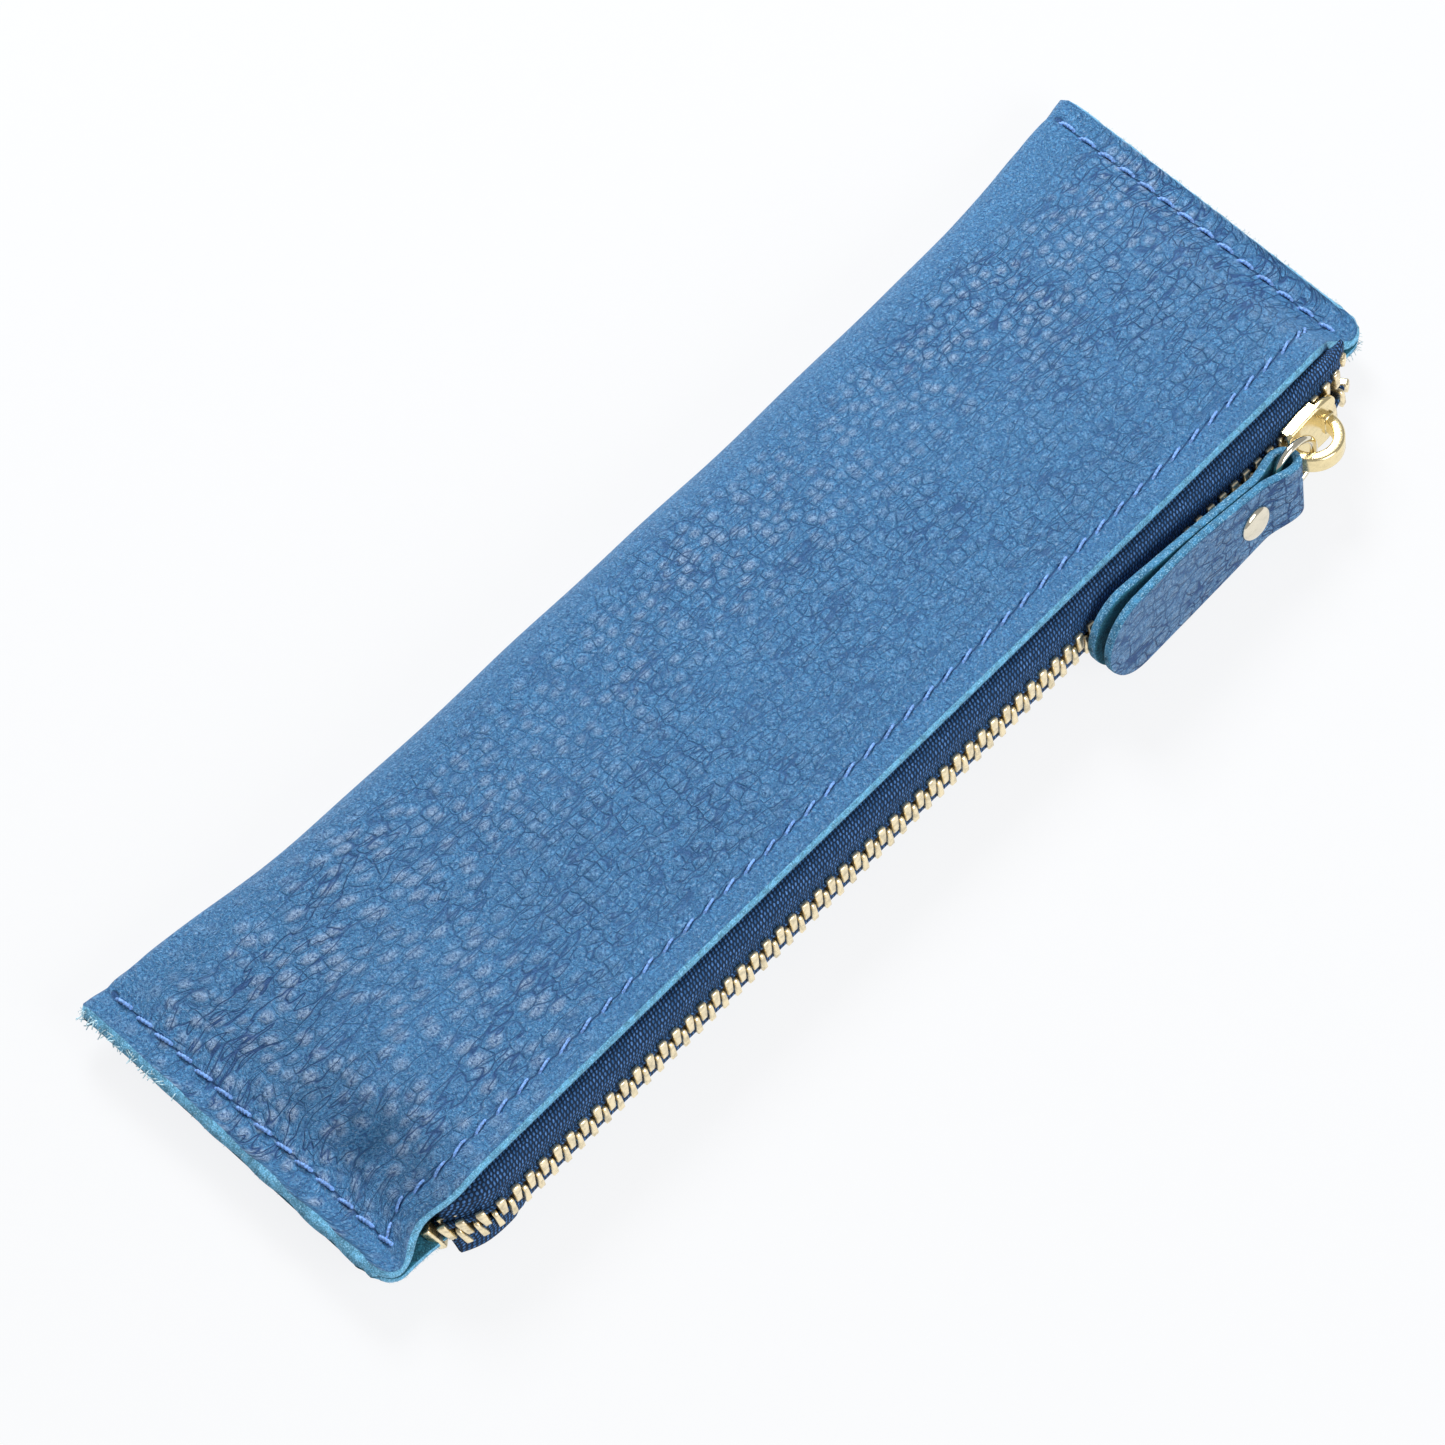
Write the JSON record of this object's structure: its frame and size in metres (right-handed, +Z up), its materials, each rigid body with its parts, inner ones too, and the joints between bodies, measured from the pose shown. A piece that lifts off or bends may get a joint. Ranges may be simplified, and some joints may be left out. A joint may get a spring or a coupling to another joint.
{
  "type": "pencil case",
  "caption": "Slim pebbled leather pencil case folded along one side, with a metal zip along the other, a looped slider, a ring and a riveted leather pull tab.",
  "frame": {"origin": "centre of the case's leather rectangle in plan, on the flat underside it rests on", "axes": "+X along the case toward the closed end of the zip, +Y toward the folded long side, +Z up from the table"},
  "size_m": [0.205, 0.0719, 0.0179],
  "materials": {
    "leather": "pebbled blue dyed leather, semi-matt, with raw teal edges",
    "zip_tape": "navy herringbone woven tape, matt",
    "zip_brass": "tumbled pale brass, soft shine",
    "pale_gold": "polished pale gold plating",
    "ring_plate": "polished champagne nickel plating",
    "sewing_thread": "twisted polyester thread, slight sheen"
  },
  "bodies": {
    "case": {"leather_body": "leather", "upper_zip_tape": "zip_tape", "lower_zip_tape": "zip_tape", "upper_zip_teeth": "zip_brass", "lower_zip_teeth": "zip_brass", "upper_top_stop": "zip_brass", "lower_top_stop": "zip_brass", "bottom_stop": "zip_brass", "upper_zip_needle_thread": "sewing_thread", "lower_zip_needle_thread": "sewing_thread", "left_end_upper_thread": "sewing_thread", "left_end_lower_thread": "sewing_thread", "right_end_upper_thread": "sewing_thread", "right_end_lower_thread": "sewing_thread"},
    "slider": {"slider_body": "pale_gold", "slider_crown": "pale_gold"},
    "ring": {"jump_ring": "ring_plate"},
    "tab": {"pull_tab": "leather", "rivet_stud": "ring_plate", "rivet_socket": "ring_plate"}
  },
  "joints": [
    {"name": "slider_slide", "type": "slide", "parent": "case", "child": "slider", "axis": [1, 0, 0], "range_m": [-0.158, 0], "deforming": ["upper_zip_teeth", "lower_zip_teeth"]},
    {"name": "ring_swing", "type": "hinge", "parent": "slider", "child": "ring", "pos_m": [0.08061, -0.03776, 0.00977], "axis": [0, 0.1736, 0.9848], "range_deg": [0, 95]},
    {"name": "tab_lift", "type": "hinge", "parent": "ring", "child": "tab", "pos_m": [0.07631, -0.03776, 0.00977], "axis": [0, 0.9781, -0.2079], "range_deg": [0, 15]}
  ]
}
